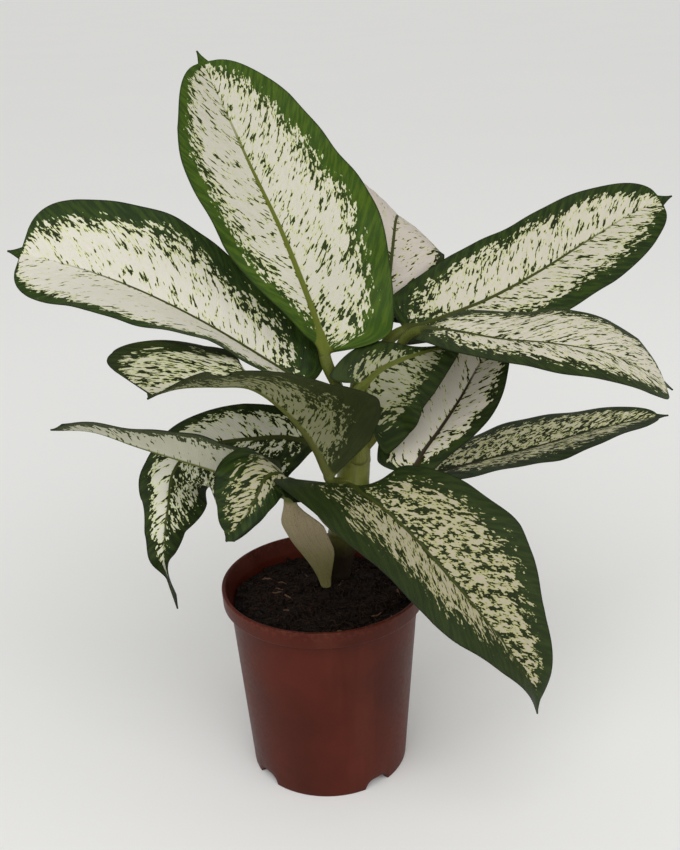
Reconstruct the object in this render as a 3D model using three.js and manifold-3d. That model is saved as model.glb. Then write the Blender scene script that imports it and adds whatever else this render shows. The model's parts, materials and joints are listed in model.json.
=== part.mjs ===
// A dieffenbachia in a plastic nursery pot: pot, soil, one cane, and a node for every leaf.
// Millimetres, +Z up. The origin is the middle of the pot's foot, and the plant's front is at -Y.
import * as THREE from "three";
import { mergeVertices } from "three/addons/utils/BufferGeometryUtils.js";
import Module from "manifold-3d";

const wasm = await Module();
wasm.setup();

// ---------- pot and soil ----------
const potHeight = 120;
const rimRadius = 60;
const lipHeight = 10;
const lipRound = 1.2;
const bodyTopRadius = 55.5;
const footRadius = 47;
const wall = 2;
const footDepth = 4.5;
const footWidth = 4;
const floorThickness = 2.5;
const padRadius = 12;
const notchCount = 4;
const notchWidth = 17;
const notchHeight = 5.5;
const firstNotch = 37;
const drainCount = 4;
const drainRadius = 4;
const drainCircle = 26;
const soilLevel = 110;
const soilDome = 3;
const soilLump = 0.8;
const soilRings = 7;
const gap = 0.3;

// ---------- cane ----------
const canePoints = [[9, 24, 94], [10, 20, 118], [14, 13, 150], [19, 10, 176], [22, 11, 234]];
const caneRadiusFoot = 5.5;
const caneRadiusTop = 9.5;
const caneFilled = 0.55;
const caneJointPitch = 16;
const caneJointRise = 0.5;

// ---------- stalks and blades ----------
const stalkRadiusRoot = 4.4;
const stalkRadiusBlade = 3.3;
const stalkRadiusSoil = 2.8;
const stalkFlatness = 0.85;
const stalkReach = 0.4;
const rootDepth = 2.8;
const wingFull = 0.55;
const wingFades = 0.75;
const bladeOpening = 0.08;
const lobeReach = 0.35;
const rippleShift = 0.35;
const bladeThickness = 1.2;
const edgeThickness = 0.8;
const ribDepthBase = 3;
const ribDepthTip = 0.4;
const tipHalfWidth = 0.5;
const cuspHalfWidth = 4.5;
const cuspStart = 0.96;
const cuspTaper = 1.5;

// ---------- how finely things are cut ----------
const potSegments = 48;
const drainSides = 12;
const notchSteps = 4;
const caneSides = 14;
const caneSteps = 20;
const stalkSteps = 4;
const bladeSteps = 14;
const bladeColumns = 6;

// Each leaf, in millimetres and degrees.
// node: height on the cane where the stalk leaves it, or foot: where it starts in the soil.
// rise: slope of the stalk there. wing: how far the stalk's sheath stands out on the left and the right.
// midrib: places from the blade's base to its tip.
// left, right: how far each half rises from level across the midrib, evenly spaced from base to tip.
// half: widths left and right of the midrib. shape: for each half, its fullness towards the base and
// towards the tip, where less is rounder. lobe: how far each half's edge sweeps back at the base.
// wave: height, number and phase of the margin's ripples.
const leaves = {
  leaf_top: {
    node: 230, rise: 75,
    midrib: [[6, 10, 255], [3, 18, 269], [-6, 30, 294], [-17, 46, 320], [-32, 62, 351], [-44, 72, 378],
      [-60, 82, 414]],
    left: [3, 3, 3], right: [30, 30, 28],
    half: [47, 54], shape: [[1, 0.55], [0.34, 0.5]], lobe: [0, 18], wave: [2.5, 2.2, 0.1],
  },
  leaf_left_high: {
    node: 208, rise: 60,
    midrib: [[-2, 12, 236], [-25, 16, 251], [-58, 21, 272], [-90, 26, 289], [-118, 29, 301],
      [-145, 30, 310], [-167, 30, 316]],
    left: [15, 12, -3, -23], right: [50, 55, 60, 58],
    half: [48, 45], shape: [[0.55, 0.35], [0.55, 0.35]], lobe: [6, 18], wave: [2, 2.5, 0.4],
  },
  leaf_left_folded: {
    node: 178, rise: 60,
    midrib: [[6, -12, 191], [-2, -25, 218], [-15, -37, 242], [-31, -44, 258], [-49, -47, 261],
      [-65, -53, 263], [-75, -63, 264], [-80, -74, 265]],
    left: [60, 50, 28, 28, 35], right: [60, 40, 0, 15, 30],
    half: [47, 41], shape: [[0.4, 0.5], [0.5, 0.2]], lobe: [6, 6], wave: [2, 2, 0.2],
  },
  leaf_left_long: {
    node: 150, rise: 45,
    midrib: [[-20, -5, 187], [-41, -13, 194], [-63, -25, 208], [-93, -37, 225], [-116, -41, 236],
      [-138, -40, 237]],
    left: [50, 55, 55, 52], right: [50, 50, 50],
    half: [25, 6], shape: [[0.2, 0.7], [0.5, 0.9]], lobe: [0, 0], wave: [1.5, 2, 0.2],
  },
  leaf_left_drooping: {
    node: 188, rise: 50,
    midrib: [[2, 10, 201], [-17, 8, 208], [-37, 3, 210], [-57, -2, 210], [-72, -8, 207], [-81, -14, 197],
      [-84, -19, 181], [-87, -22, 164], [-88, -24, 144], [-83, -26, 119]],
    left: [-86, -86, -84, -70, 0], right: [40, 50, 24, 30, 35],
    half: [60, 21], shape: [[1.6, 2.9], [0.5, 1.1]], lobe: [6, 6], wave: [2, 2, 0.3],
  },
  leaf_front_low: {
    foot: [2, 12, 103], rise: 75, wing: [14, 5],
    midrib: [[-16, -28, 186], [-16, -35, 201], [-20, -43, 209], [-27, -52, 210], [-31, -59, 204],
      [-38, -65, 194], [-48, -69, 183]],
    left: [-20, -50, -40, -30], right: [0, 20, 26, 30],
    half: [18, 24], shape: [[0.4, 1.3], [0.6, 0.5]], lobe: [4, 4], wave: [1, 2, 0.3],
  },
  leaf_front_hanging: {
    node: 160, rise: 50,
    midrib: [[17, -32, 194], [24, -45, 196], [36, -55, 190], [50, -63, 178], [67, -71, 159],
      [82, -77, 141], [97, -82, 121], [109, -86, 102], [113, -87, 83]],
    left: [-5, 26, 43, 42, 40], right: [24, 8, 0, 2, 2],
    half: [48, 50], shape: [[0.6, 0.85], [0.2, 0.9]], lobe: [10, 24], wave: [2.5, 2, 0.2],
  },
  leaf_right_low: {
    node: 156, rise: 35,
    midrib: [[58, 20, 174], [90, 32, 177], [127, 40, 182], [163, 44, 190], [193, 45, 196],
      [210, 44, 199]],
    left: [2, 2], right: [11, 11],
    half: [37, 34], shape: [[0.6, 0.6], [0.6, 0.6]], lobe: [6, 6], wave: [1.5, 2, 0.3],
  },
  leaf_right_upright: {
    node: 170, rise: 45,
    midrib: [[52, -2, 186], [60, 6, 197], [70, 14, 207], [83, 26, 221], [94, 36, 236], [108, 46, 255]],
    left: [33, 33], right: [-17, -17],
    half: [30, 21], shape: [[0.4, 0.6], [0.8, 0.6]], lobe: [14, 14], wave: [1, 2, 0.3],
  },
  leaf_right_arched: {
    node: 201, rise: 45,
    midrib: [[61, 11, 268], [75, 0, 271], [99, -15, 270], [125, -26, 270], [152, -33, 266],
      [172, -36, 257], [187, -37, 246]],
    left: [5, 5], right: [-5, -5],
    half: [47, 32], shape: [[0.45, 0.24], [0.45, 0.24]], lobe: [14, 8], wave: [1, 2, 0.2],
  },
  leaf_right_high: {
    node: 214, rise: 50,
    midrib: [[51, 33, 261], [72, 42, 265], [102, 54, 272], [133, 63, 285], [165, 71, 302], [189, 75, 315],
      [212, 77, 324]],
    left: [43, 46, 46, 46], right: [-5, -25, -30, -30],
    half: [35, 34], shape: [[0.4, 0.5], [0.6, 0.45]], lobe: [18, 30], wave: [2, 2.2, 0.6],
  },
  leaf_back_upright: {
    node: 228, rise: 75,
    midrib: [[36, 50, 262], [43, 56, 278], [47, 66, 299], [50, 82, 313], [53, 104, 312], [53, 126, 296],
      [53, 144, 272]],
    left: [40, 40], right: [-40, -40],
    half: [36, 36], shape: [[0.5, 0.6], [0.5, 0.6]], lobe: [6, 6], wave: [1.5, 2, 0.2],
  },
  leaf_right_inner: {
    node: 194, rise: 60,
    midrib: [[26, -5, 242], [36, -2, 250], [48, 0, 255], [61, 5, 257], [72, 9, 258], [82, 13, 258]],
    left: [58, 32, -4, -20], right: [-90, -76, -60],
    half: [19, 41], shape: [[0.35, 1.6], [0.12, 0.85]], lobe: [22, 36], wave: [1, 2, 0.2],
  },
};

const colours = { pot: 0x6b3a2a, soil: 0x1d130d, cane: 0x6b7531, leaf: 0x8c9a6c };

// ---------- helpers ----------
const turn = THREE.MathUtils.degToRad;
const mix = THREE.MathUtils.lerp;
const smoothstep = THREE.MathUtils.smoothstep;

function between(list, t) {
  const place = Math.min(t, 0.999999) * (list.length - 1);
  const i = Math.floor(place);
  return mix(list[i], list[i + 1], place - i);
}

// Joins rings of points, in order, into one closed body. Every ring runs clockwise, seen looking ahead.
// foldAt is the place in the ring where the upper row ends and the lower row runs back beneath it,
// so that both are split along the same diagonals.
function loft(rings, foldAt = Infinity) {
  const count = rings[0].length;
  const points = rings.flat();
  const faces = [];
  for (let i = 0; i < rings.length - 1; i++) {
    for (let j = 0; j < count; j++) {
      const a = i * count + j;
      const b = i * count + (j + 1) % count;
      const [c, d] = [a + count, b + count];
      if (j < foldAt) faces.push(a, b, d, a, d, c);
      else faces.push(a, b, c, b, d, c);
    }
  }
  for (const [ring, start] of [[rings[0], 0], [rings.at(-1), points.length - count]]) {
    const centre = ring.reduce((sum, p) => sum.add(p), new THREE.Vector3()).divideScalar(count);
    const middle = points.length;
    points.push(centre);
    for (let j = 0; j < count; j++) {
      const [a, b] = [start + j, start + (j + 1) % count];
      if (start === 0) faces.push(middle, b, a);
      else faces.push(middle, a, b);
    }
  }
  const geometry = new THREE.BufferGeometry().setFromPoints(points);
  geometry.setIndex(faces);
  return geometry;
}

function solid(geometry) {
  const bare = geometry.clone();
  bare.deleteAttribute("normal");
  bare.deleteAttribute("uv");
  const merged = mergeVertices(bare, 1e-4);
  return new wasm.Manifold(new wasm.Mesh({
    numProp: 3,
    vertProperties: new Float32Array(merged.attributes.position.array),
    triVerts: new Uint32Array(merged.index.array),
  }));
}

function surface(body) {
  const mesh = body.getMesh();
  const geometry = new THREE.BufferGeometry();
  geometry.setAttribute("position", new THREE.BufferAttribute(new Float32Array(mesh.vertProperties), 3));
  geometry.setIndex(Array.from(mesh.triVerts));
  return geometry;
}

function lathe(profile) {
  const points = profile.map(([r, z]) => new THREE.Vector2(r, z));
  return new THREE.LatheGeometry(points, potSegments).rotateX(Math.PI / 2);
}

// ---------- pot ----------
function innerRadius(z) {
  const bodyTop = potHeight - lipHeight;
  return mix(footRadius, bodyTopRadius, Math.min(z / bodyTop, 1)) - wall;
}

function potShell() {
  const floorTop = footDepth + floorThickness;
  const footInner = footRadius - footWidth;
  const lipBottom = potHeight - lipHeight;
  return solid(lathe([
    [0, 0],
    [padRadius, 0],
    [padRadius, footDepth],
    [footInner, footDepth],
    [footInner, 0],
    [footRadius, 0],
    [bodyTopRadius, lipBottom],
    [rimRadius - lipRound, lipBottom],
    [rimRadius, lipBottom + lipRound],
    [rimRadius, potHeight - lipRound],
    [rimRadius - lipRound, potHeight],
    [rimRadius - wall, potHeight],
    [innerRadius(lipBottom), lipBottom],
    [innerRadius(floorTop), floorTop],
    [0, floorTop],
  ]));
}

// An arch that stands on the foot's edge and runs out through it.
function notch() {
  const arch = new THREE.Shape();
  arch.moveTo(-notchWidth / 2, -1);
  arch.lineTo(notchWidth / 2, -1);
  arch.lineTo(notchWidth / 2, 0);
  arch.quadraticCurveTo(notchWidth * 0.4, notchHeight, notchWidth * 0.15, notchHeight);
  arch.lineTo(-notchWidth * 0.15, notchHeight);
  arch.quadraticCurveTo(-notchWidth * 0.4, notchHeight, -notchWidth / 2, 0);
  const depth = footWidth * 3;
  const cut = new THREE.ExtrudeGeometry(arch, { depth, bevelEnabled: false, curveSegments: notchSteps });
  return cut.rotateX(Math.PI / 2).rotateZ(Math.PI / 2).translate(footRadius - footWidth * 2, 0, 0);
}

function pot() {
  let body = potShell();
  for (let i = 0; i < notchCount; i++) {
    const at = turn(firstNotch + i * 360 / notchCount);
    body = body.subtract(solid(notch().rotateZ(at)));
  }
  for (let i = 0; i < drainCount; i++) {
    const at = turn(firstNotch + (i + 0.5) * 360 / drainCount);
    const drill = new THREE.CylinderGeometry(drainRadius, drainRadius, floorThickness * 4, drainSides);
    const [x, y] = [drainCircle * Math.cos(at), drainCircle * Math.sin(at)];
    body = body.subtract(solid(drill.rotateX(Math.PI / 2).translate(x, y, footDepth)));
  }
  return body;
}

// ---------- cane ----------
const caneCurve = new THREE.CatmullRomCurve3(canePoints.map((p) => new THREE.Vector3(...p)));

function caneRadius(t) {
  return mix(caneRadiusFoot, caneRadiusTop, smoothstep(t, 0, caneFilled));
}

// Where along the cane, from 0 to 1, it reaches a height.
function canePlace(z) {
  const [low, high] = [canePoints[0][2], canePoints.at(-1)[2]];
  let t = (z - low) / (high - low);
  for (let i = 0; i < 6; i++) t += (z - caneCurve.getPoint(t).z) / (high - low);
  return Math.min(Math.max(t, 0), 1);
}

function cane(grow = 0) {
  const rings = [];
  for (let i = 0; i <= caneSteps; i++) {
    const t = i / caneSteps;
    const middle = caneCurve.getPoint(t);
    const joint = Math.cos(2 * Math.PI * middle.z / caneJointPitch) ** 4 * caneJointRise;
    const round = Math.sqrt(1 - Math.max(0, (t - 0.95) / 0.05) ** 2 * 0.8);
    const radius = caneRadius(t) * round + joint + grow;
    const ring = [];
    for (let j = 0; j < caneSides; j++) {
      const at = 2 * Math.PI * j / caneSides;
      ring.push(new THREE.Vector3(radius * Math.cos(at), radius * Math.sin(at), 0).add(middle));
    }
    rings.push(ring);
  }
  return solid(loft(rings));
}

// ---------- leaves ----------
function frame(point, ahead, roll) {
  const level = new THREE.Vector3(ahead.y, -ahead.x, 0).normalize();
  const top = new THREE.Vector3().crossVectors(level, ahead);
  const right = level.clone().multiplyScalar(Math.cos(roll)).addScaledVector(top, Math.sin(roll));
  const up = new THREE.Vector3().crossVectors(right, ahead);
  return { point, ahead, right, up };
}

// The midrib as a curve, and the stations along it. They crowd a little towards the base and the tip.
function midribCurve(leaf) {
  const points = leaf.midrib.map((p) => new THREE.Vector3(...p));
  return new THREE.CatmullRomCurve3(points, false, "catmullrom");
}

function stations(leaf) {
  const curve = midribCurve(leaf);
  const places = [];
  for (let i = 0; i <= bladeSteps; i++) {
    const even = i / bladeSteps;
    const t = mix(even, 0.5 - 0.5 * Math.cos(Math.PI * even), 0.5);
    const [left, right] = [between(leaf.left, t), between(leaf.right, t)];
    const across = frame(curve.getPointAt(t), curve.getTangentAt(t), turn((right - left) / 2));
    places.push({ t, fold: turn((left + right) / 2), ...across });
  }
  return places;
}

function halfWidth(leaf, side, t) {
  const [full, pointed] = leaf.shape[side];
  const s = Math.min(t / cuspStart, 1);
  const widest = full / (full + pointed);
  const outline = (s / widest) ** full * ((1 - s) / (1 - widest)) ** pointed;
  const cusp = cuspHalfWidth * t ** 4 * Math.min(1, (1 - t) / (1 - cuspStart)) ** cuspTaper;
  return tipHalfWidth + leaf.half[side] * outline + cusp;
}

// A point of the blade, with u from -1 at its left edge to 1 at its right, and lift from its middle surface.
function bladePoint(leaf, place, u, lift) {
  const side = u < 0 ? 0 : 1;
  const w = Math.abs(u);
  const out = halfWidth(leaf, side, place.t) * w;
  const slope = w === 0 ? 0 : place.fold;
  const [height, count, phase] = leaf.wave;
  const cycle = 2 * Math.PI * (count * place.t + phase + side * rippleShift);
  const ripple = height * w * w * Math.sin(cycle) * Math.sin(Math.PI * place.t);
  const x = (u < 0 ? -1 : 1) * (out * Math.cos(slope) - lift * Math.sin(slope));
  const z = out * Math.sin(slope) + lift * Math.cos(slope) + ripple;
  const back = leaf.lobe[side] * w * Math.max(0, 1 - place.t / lobeReach) ** 2;
  const point = place.point.clone().addScaledVector(place.right, x).addScaledVector(place.up, z);
  return point.addScaledVector(place.ahead, -back);
}

function stalkPoint(place, radius, u, above, wing = [0, 0]) {
  const at = u * Math.PI / 2 * 0.9;
  const x = radius * Math.sin(at) + u * Math.abs(u) * wing[u < 0 ? 0 : 1];
  const z = radius * Math.cos(at) * stalkFlatness * (above ? 1 : -1);
  return place.point.clone().addScaledVector(place.right, x).addScaledVector(place.up, z);
}

// The ring of a station: the upper row from left to right, then the lower row back.
function ring(pointAt) {
  const columns = Array.from({ length: bladeColumns + 1 }, (_, c) => -1 + 2 * c / bladeColumns);
  return [...columns.map((u) => pointAt(u, true)), ...columns.reverse().map((u) => pointAt(u, false))];
}

// The middle of a stalk's root: in the soil, or just under the cane's skin.
function stalkRoot(leaf, away) {
  if (leaf.foot) return new THREE.Vector3(...leaf.foot);
  const t = canePlace(leaf.node);
  return caneCurve.getPoint(t).addScaledVector(away, caneRadius(t) - rootDepth);
}

function stalkRings(leaf, grow = 0) {
  const base = new THREE.Vector3(...leaf.midrib[0]);
  const middle = leaf.foot ? new THREE.Vector3(...leaf.foot) : caneCurve.getPoint(canePlace(leaf.node));
  const away = base.clone().sub(middle).setZ(0).normalize();
  const start = away.clone().multiplyScalar(Math.cos(turn(leaf.rise))).setZ(Math.sin(turn(leaf.rise)));
  const root = stalkRoot(leaf, away).addScaledVector(start, -grow);
  const end = midribCurve(leaf).getTangentAt(0);
  const reach = base.distanceTo(root) * stalkReach;
  const curve = new THREE.CubicBezierCurve3(
    root,
    root.clone().addScaledVector(start, reach),
    base.clone().addScaledVector(end, -reach),
    base,
  );
  const rootLevel = new THREE.Vector3(away.y, -away.x, 0);
  const baseLevel = frame(base, end, turn((leaf.right[0] - leaf.left[0]) / 2)).right;
  const rings = [];
  for (let i = 0; i < stalkSteps; i++) {
    const t = i / stalkSteps;
    const ahead = curve.getTangent(t);
    const level = rootLevel.clone().lerp(baseLevel, t * t);
    const up = new THREE.Vector3().crossVectors(level, ahead).normalize();
    const right = new THREE.Vector3().crossVectors(ahead, up);
    const place = { point: curve.getPoint(t), right, up };
    const radius = mix(leaf.foot ? stalkRadiusSoil : stalkRadiusRoot, stalkRadiusBlade, t) + grow;
    const spread = smoothstep(t, 0, wingFull) * (1 - smoothstep(t, wingFades, 1));
    const wing = (leaf.wing ?? [0, 0]).map((reach) => reach * spread);
    rings.push(ring((u, above) => stalkPoint(place, radius, u, above, wing)));
  }
  return rings;
}

function bladeRings(leaf) {
  return stations(leaf).map((place) => {
    const open = smoothstep(place.t, 0, bladeOpening);
    const rib = mix(ribDepthBase, ribDepthTip, place.t);
    return ring((u, above) => {
      const thick = mix(bladeThickness, edgeThickness, Math.abs(u)) / 2;
      const lift = above ? thick : -thick - (u === 0 ? rib : 0);
      const blade = bladePoint(leaf, place, u, lift);
      return stalkPoint(place, stalkRadiusBlade, u, above).lerp(blade, open);
    });
  });
}

function leafSolid(leaf) {
  return solid(loft([...stalkRings(leaf), ...bladeRings(leaf)], bladeColumns));
}

// The stalk alone, a little thicker: the room that it needs in the cane and in the soil.
function socket(leaf) {
  return solid(loft(stalkRings(leaf, gap), bladeColumns));
}

// ---------- soil ----------
function soilBody() {
  const bottom = footDepth + floorThickness + gap;
  const edge = innerRadius(soilLevel) - gap;
  const profile = [[0, bottom], [innerRadius(bottom) - gap, bottom], [edge, soilLevel - soilDome]];
  for (let i = 1; i <= soilRings; i++) {
    const r = edge * (1 - i / soilRings);
    profile.push([r, soilLevel - soilDome * (r / edge) ** 2]);
  }
  const geometry = lathe(profile);
  const position = geometry.attributes.position;
  for (let i = 0; i < position.count; i++) {
    const [x, y, z] = [position.getX(i), position.getY(i), position.getZ(i)];
    const r = Math.hypot(x, y);
    if (z < soilLevel - soilDome - 1 || r > edge - 1) continue;
    const lump = Math.sin(x * 0.31 + 1) * Math.cos(y * 0.27) + Math.sin(x * 0.17 - y * 0.23);
    position.setZ(i, z + lump * soilLump * (r > 0.1 ? 1 : 0));
  }
  return solid(geometry);
}

// ---------- the plant ----------
function piece(name, body, colour, roughness) {
  const material = new THREE.MeshStandardMaterial({ color: colour, roughness, metalness: 0 });
  const mesh = new THREE.Mesh(surface(body), material);
  mesh.name = name;
  return mesh;
}

const plant = new THREE.Group();
let soil = soilBody().subtract(cane(gap)).subtract(socket(leaves.leaf_front_low));
let stem = cane();
for (const leaf of Object.values(leaves)) stem = stem.subtract(socket(leaf));

plant.add(piece("pot", pot(), colours.pot, 0.45));
plant.add(piece("soil", soil, colours.soil, 0.95));
plant.add(piece("cane", stem, colours.cane, 0.5));
for (const [name, leaf] of Object.entries(leaves)) {
  plant.add(piece(name, leafSolid(leaf), colours.leaf, 0.4));
}

export default plant;
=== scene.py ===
import json
import math
import random

import bpy
import numpy as np
from mathutils import Matrix, Vector

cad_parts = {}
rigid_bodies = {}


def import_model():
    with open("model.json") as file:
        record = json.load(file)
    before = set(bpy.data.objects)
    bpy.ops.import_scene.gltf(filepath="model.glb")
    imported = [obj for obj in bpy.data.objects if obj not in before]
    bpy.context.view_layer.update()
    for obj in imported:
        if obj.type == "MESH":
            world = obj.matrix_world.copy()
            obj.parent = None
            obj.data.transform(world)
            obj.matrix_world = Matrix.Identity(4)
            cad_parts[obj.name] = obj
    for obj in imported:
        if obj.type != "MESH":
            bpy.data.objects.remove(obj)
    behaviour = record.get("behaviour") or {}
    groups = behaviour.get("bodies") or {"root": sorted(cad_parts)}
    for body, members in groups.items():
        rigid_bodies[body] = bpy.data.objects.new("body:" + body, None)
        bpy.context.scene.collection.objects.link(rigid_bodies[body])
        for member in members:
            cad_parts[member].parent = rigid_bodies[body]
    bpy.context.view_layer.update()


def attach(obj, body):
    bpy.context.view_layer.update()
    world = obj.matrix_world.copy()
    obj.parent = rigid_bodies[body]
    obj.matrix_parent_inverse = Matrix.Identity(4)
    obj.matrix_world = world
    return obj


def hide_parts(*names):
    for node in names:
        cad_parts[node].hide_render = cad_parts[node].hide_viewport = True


# A dieffenbachia in a plastic nursery pot. The sizes below are in millimetres, as a gardener would
# give them, and every mesh is scaled to metres when it is made.
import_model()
mm = 0.001


def between(values, t):
    # Evenly spaced values, read at t from 0 to 1.
    return np.interp(t, np.linspace(0, 1, len(values)), values)


def mix(a, b, t):
    return a + (b - a) * t


def smooth(t, low=0.0, high=1.0):
    t = np.clip((t - low) / (high - low), 0, 1)
    return t * t * (3 - 2 * t)


def unit(v):
    return v / np.linalg.norm(v, axis=-1, keepdims=True)


def hump(x, width):
    return np.exp(-((x / width) ** 2))


def ringFaces(rows, ring):
    # Quads between closed rings of points that follow each other.
    i, j = np.meshgrid(np.arange(rows - 1), np.arange(ring), indexing="ij")
    a = i * ring + j
    b = i * ring + (j + 1) % ring
    return np.stack([a, b, b + ring, a + ring], axis=-1).reshape(-1, 4).tolist()


def tubeFaces(rows, ring, start=0, flip=False):
    # The same with a face at both ends. Flip it where the rings run the other way round.
    last = (rows - 1) * ring
    faces = ringFaces(rows, ring) + [list(range(ring))[::-1], list(range(last, last + ring))]
    return [[start + i for i in face][::-1 if flip else 1] for face in faces]


def meshPiece(name, points, faces, material):
    mesh = bpy.data.meshes.new(name)
    mesh.from_pydata((np.asarray(points) * mm).tolist(), [], faces)
    mesh.polygons.foreach_set("use_smooth", [True] * len(mesh.polygons))
    mesh.materials.append(material)
    mesh.update()
    piece = bpy.data.objects.new(name, mesh)
    bpy.context.scene.collection.objects.link(piece)
    return piece


def vectorAttribute(piece, name, values):
    layer = piece.data.attributes.new(name, "FLOAT_VECTOR", "POINT")
    layer.data.foreach_set("vector", np.asarray(values, np.float32).ravel())


def fit(piece, slotName, *nodes):
    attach(piece, "root")
    if nodes:
        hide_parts(*nodes)
    return piece


def rgb(red, green, blue):
    # A colour as it looks on a screen, from 0 to 255, turned into light.
    values = [c / 255 for c in (red, green, blue)]
    return [c / 12.92 if c <= 0.04045 else ((c + 0.055) / 1.055) ** 2.4 for c in values] + [1.0]


def place(tree, kind, inputs=None, **settings):
    # A new node. Its inputs are numbers, colours or the outputs of other nodes.
    node = tree.nodes.new(kind)
    for key, value in settings.items():
        setattr(node, key, value)
    for key, value in (inputs or {}).items():
        if isinstance(value, bpy.types.NodeSocket):
            tree.links.new(value, node.inputs[key])
        else:
            node.inputs[key].default_value = value
    return node


def calc(tree, operation, *values):
    return place(tree, "ShaderNodeMath", dict(enumerate(values)), operation=operation).outputs[0]


def ramp(tree, value, low, high, toLow=0.0, toHigh=1.0, soft=True):
    kind = "SMOOTHSTEP" if soft else "LINEAR"
    inputs = {"Value": value, "From Min": low, "From Max": high, "To Min": toLow, "To Max": toHigh}
    return place(tree, "ShaderNodeMapRange", inputs, interpolation_type=kind).outputs["Result"]


def blend(tree, share, a, b, how="MIX"):
    # A plain colour is given as it looks on a screen.
    a, b = (rgb(*colour) if isinstance(colour, tuple) else colour for colour in (a, b))
    inputs = {0: share, 6: a, 7: b}
    return place(tree, "ShaderNodeMix", inputs, data_type="RGBA", blend_type=how).outputs[2]


def combine(tree, x, y, z=0.0):
    return place(tree, "ShaderNodeCombineXYZ", {"X": x, "Y": y, "Z": z}).outputs[0]


def grainAt(tree, vector, scale, detail=2.0, rough=0.5):
    inputs = {"Vector": vector, "Scale": scale, "Detail": detail, "Roughness": rough}
    return place(tree, "ShaderNodeTexNoise", inputs, noise_dimensions="3D").outputs["Fac"]


def effectGroup(name, inputs, outputs, build):
    # A shader node group. Its inputs start at the values given, and None makes a vector.
    tree = bpy.data.node_groups.new(name, "ShaderNodeTree")
    for key, value in inputs.items():
        kind = "NodeSocketVector" if value is None else "NodeSocketFloat"
        socket = tree.interface.new_socket(key, in_out="INPUT", socket_type=kind)
        if value is not None:
            socket.default_value = value
    for key in outputs:
        tree.interface.new_socket(key, in_out="OUTPUT", socket_type="NodeSocketFloat")
    source = tree.nodes.new("NodeGroupInput").outputs
    result = tree.nodes.new("NodeGroupOutput")
    for key, socket in build(tree, source).items():
        tree.links.new(socket, result.inputs[key])
    return tree


def useGroup(tree, group, inputs):
    return place(tree, "ShaderNodeGroup", inputs, node_tree=group).outputs


def newMaterial(name, **settings):
    material = bpy.data.materials.new(name)
    material.use_nodes = True
    shader = material.node_tree.nodes["Principled BSDF"]
    for key, value in settings.items():
        shader.inputs[key].default_value = value
    return material, material.node_tree, shader


def objectPlace(tree):
    return tree.nodes.new("ShaderNodeTexCoord").outputs["Object"]


def xyz(tree, vector):
    return place(tree, "ShaderNodeSeparateXYZ", {0: vector}).outputs


def dress(tree, shader, colour, rough, height, bump):
    # What every finish varies: its colour, its roughness and a fine relief.
    tree.links.new(colour, shader.inputs["Base Color"])
    tree.links.new(rough, shader.inputs["Roughness"])
    relief = place(tree, "ShaderNodeBump", {"Height": height, "Distance": bump})
    tree.links.new(relief.outputs[0], shader.inputs["Normal"])


def camelName(node):
    words = node.split("_")
    return words[0] + "".join(word.capitalize() for word in words[1:])


# Flecks drawn out along the side veins: blotches near the margin, thin streaks in the pale middle.
# Cover is how much of the spot is green, from -3 to 3. Each layer is a pitch along the leaf, a reach
# across it, a weight and a seed.
fleckLook = {
    "blotches": ((8.0, 8.0, 0.26, 3.0), (3.0, 2.8, 0.44, 11.0), (1.4, 1.3, 0.3, 23.0)),
    "streaks": ((9.0, 12.0, 0.22, 31.0), (2.4, 5.8, 0.46, 37.0), (1.2, 2.7, 0.32, 41.0)),
    "contrast": 19.0,
    "streaksAt": (0.3, -0.9),       # the cover where blotches turn into streaks, from and to
    "softness": 0.14,               # of a fleck's outline
    "tintReach": 1.1,               # how far the tint spreads past it
    "tone": (3.0, 9.0, 53.0),       # pitch, reach and seed of the lighter green
    "toneRange": (0.38, 0.66),
}


def veinSpot(tree, vein, across, pitch, reach, seed=0.0):
    return combine(tree, calc(tree, "DIVIDE", vein, pitch), calc(tree, "DIVIDE", across, reach), seed)


def fleckHeight(tree, vein, across, layers):
    total = 0.0
    for pitch, reach, weight, seed in layers:
        spot = veinSpot(tree, vein, across, pitch, reach, seed)
        total = calc(tree, "MULTIPLY_ADD", grainAt(tree, spot, 1.0, 2.0), weight, total)
    return total


def buildFlecks(tree, source):
    look = fleckLook
    vein, across, cover = source["Vein"], source["Across"], source["Cover"]
    blotches = fleckHeight(tree, vein, across, look["blotches"])
    streaks = fleckHeight(tree, vein, across, look["streaks"])
    inner = ramp(tree, cover, *look["streaksAt"])
    both = calc(tree, "MULTIPLY_ADD", calc(tree, "SUBTRACT", streaks, blotches), inner, blotches)
    height = calc(tree, "MULTIPLY", calc(tree, "SUBTRACT", both, 0.5), look["contrast"])
    over = calc(tree, "ADD", height, cover)
    tone = grainAt(tree, veinSpot(tree, vein, across, *look["tone"]), 1.0)
    return {
        "Green": ramp(tree, over, -look["softness"], look["softness"]),
        "Near": ramp(tree, over, -look["tintReach"], 0.0),
        "Tone": ramp(tree, tone, *look["toneRange"]),
    }


fleckInputs = {"Vein": 0.0, "Across": 0.0, "Cover": 0.0}
fleckEffect = effectGroup("veinFlecks", fleckInputs, ("Green", "Near", "Tone"), buildFlecks)


# Fine parallel veins and the cells between them, as a height. The pitch and the drift are millimetres.
reliefLook = {"pitch": 1.9, "drift": 6.0, "veinRise": 0.35, "cellRise": 0.8, "cells": (1.3, 0.5)}


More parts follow.
